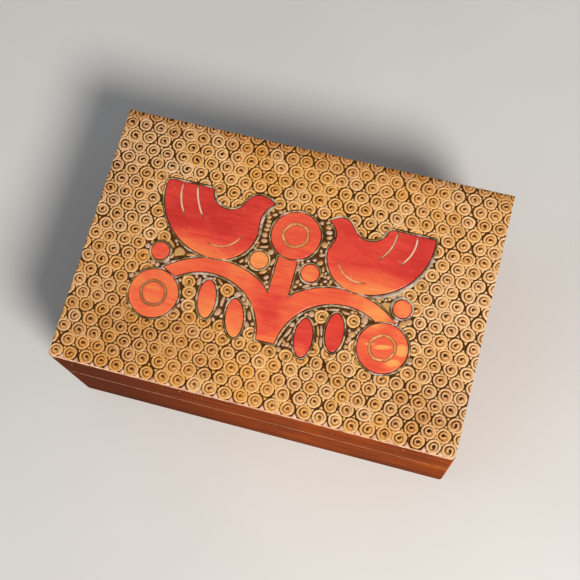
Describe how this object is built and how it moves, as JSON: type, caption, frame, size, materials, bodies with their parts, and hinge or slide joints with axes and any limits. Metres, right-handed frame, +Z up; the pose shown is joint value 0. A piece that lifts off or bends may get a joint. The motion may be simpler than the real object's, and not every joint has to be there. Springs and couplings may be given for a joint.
{
  "type": "hinged wooden trinket box",
  "caption": "Low rectangular wooden box whose hinged lid has a flat-relief folk carving of birds, flowers and a tree on a ground of punched swirls.",
  "frame": {"origin": "centre of the box's underside", "axes": "+X along the long side to the right as seen from the front, +Y to the hinged back, +Z up"},
  "size_m": [0.16, 0.107, 0.063],
  "materials": {
    "stained_wood": "red-brown stain under satin lacquer",
    "carved_wood": "amber carved wood under satin lacquer",
    "plywood": "bare",
    "hinge_brass": "dull",
    "pin_steel": "plain wire"
  },
  "bodies": {
    "box": {"body_front_wall": "stained_wood", "body_back_wall": "stained_wood", "body_left_wall": "stained_wood", "body_right_wall": "stained_wood", "bottom_panel": "plywood", "left_hinge_body_leaf": "hinge_brass", "right_hinge_body_leaf": "hinge_brass", "left_hinge_pin": "pin_steel", "right_hinge_pin": "pin_steel", "body_hinge_screws": "hinge_brass"},
    "lid": {"lid_top_panel": "carved_wood", "lid_front_rail": "stained_wood", "lid_back_rail": "stained_wood", "lid_left_rail": "stained_wood", "lid_right_rail": "stained_wood", "left_hinge_lid_leaf": "hinge_brass", "right_hinge_lid_leaf": "hinge_brass", "lid_hinge_screws": "hinge_brass"}
  },
  "joints": [
    {"name": "lid_hinge", "type": "hinge", "parent": "box", "child": "lid", "pos_m": [0, 0.0511, 0.036], "axis": [-1, 0, 0], "range_deg": [0, 110]}
  ]
}
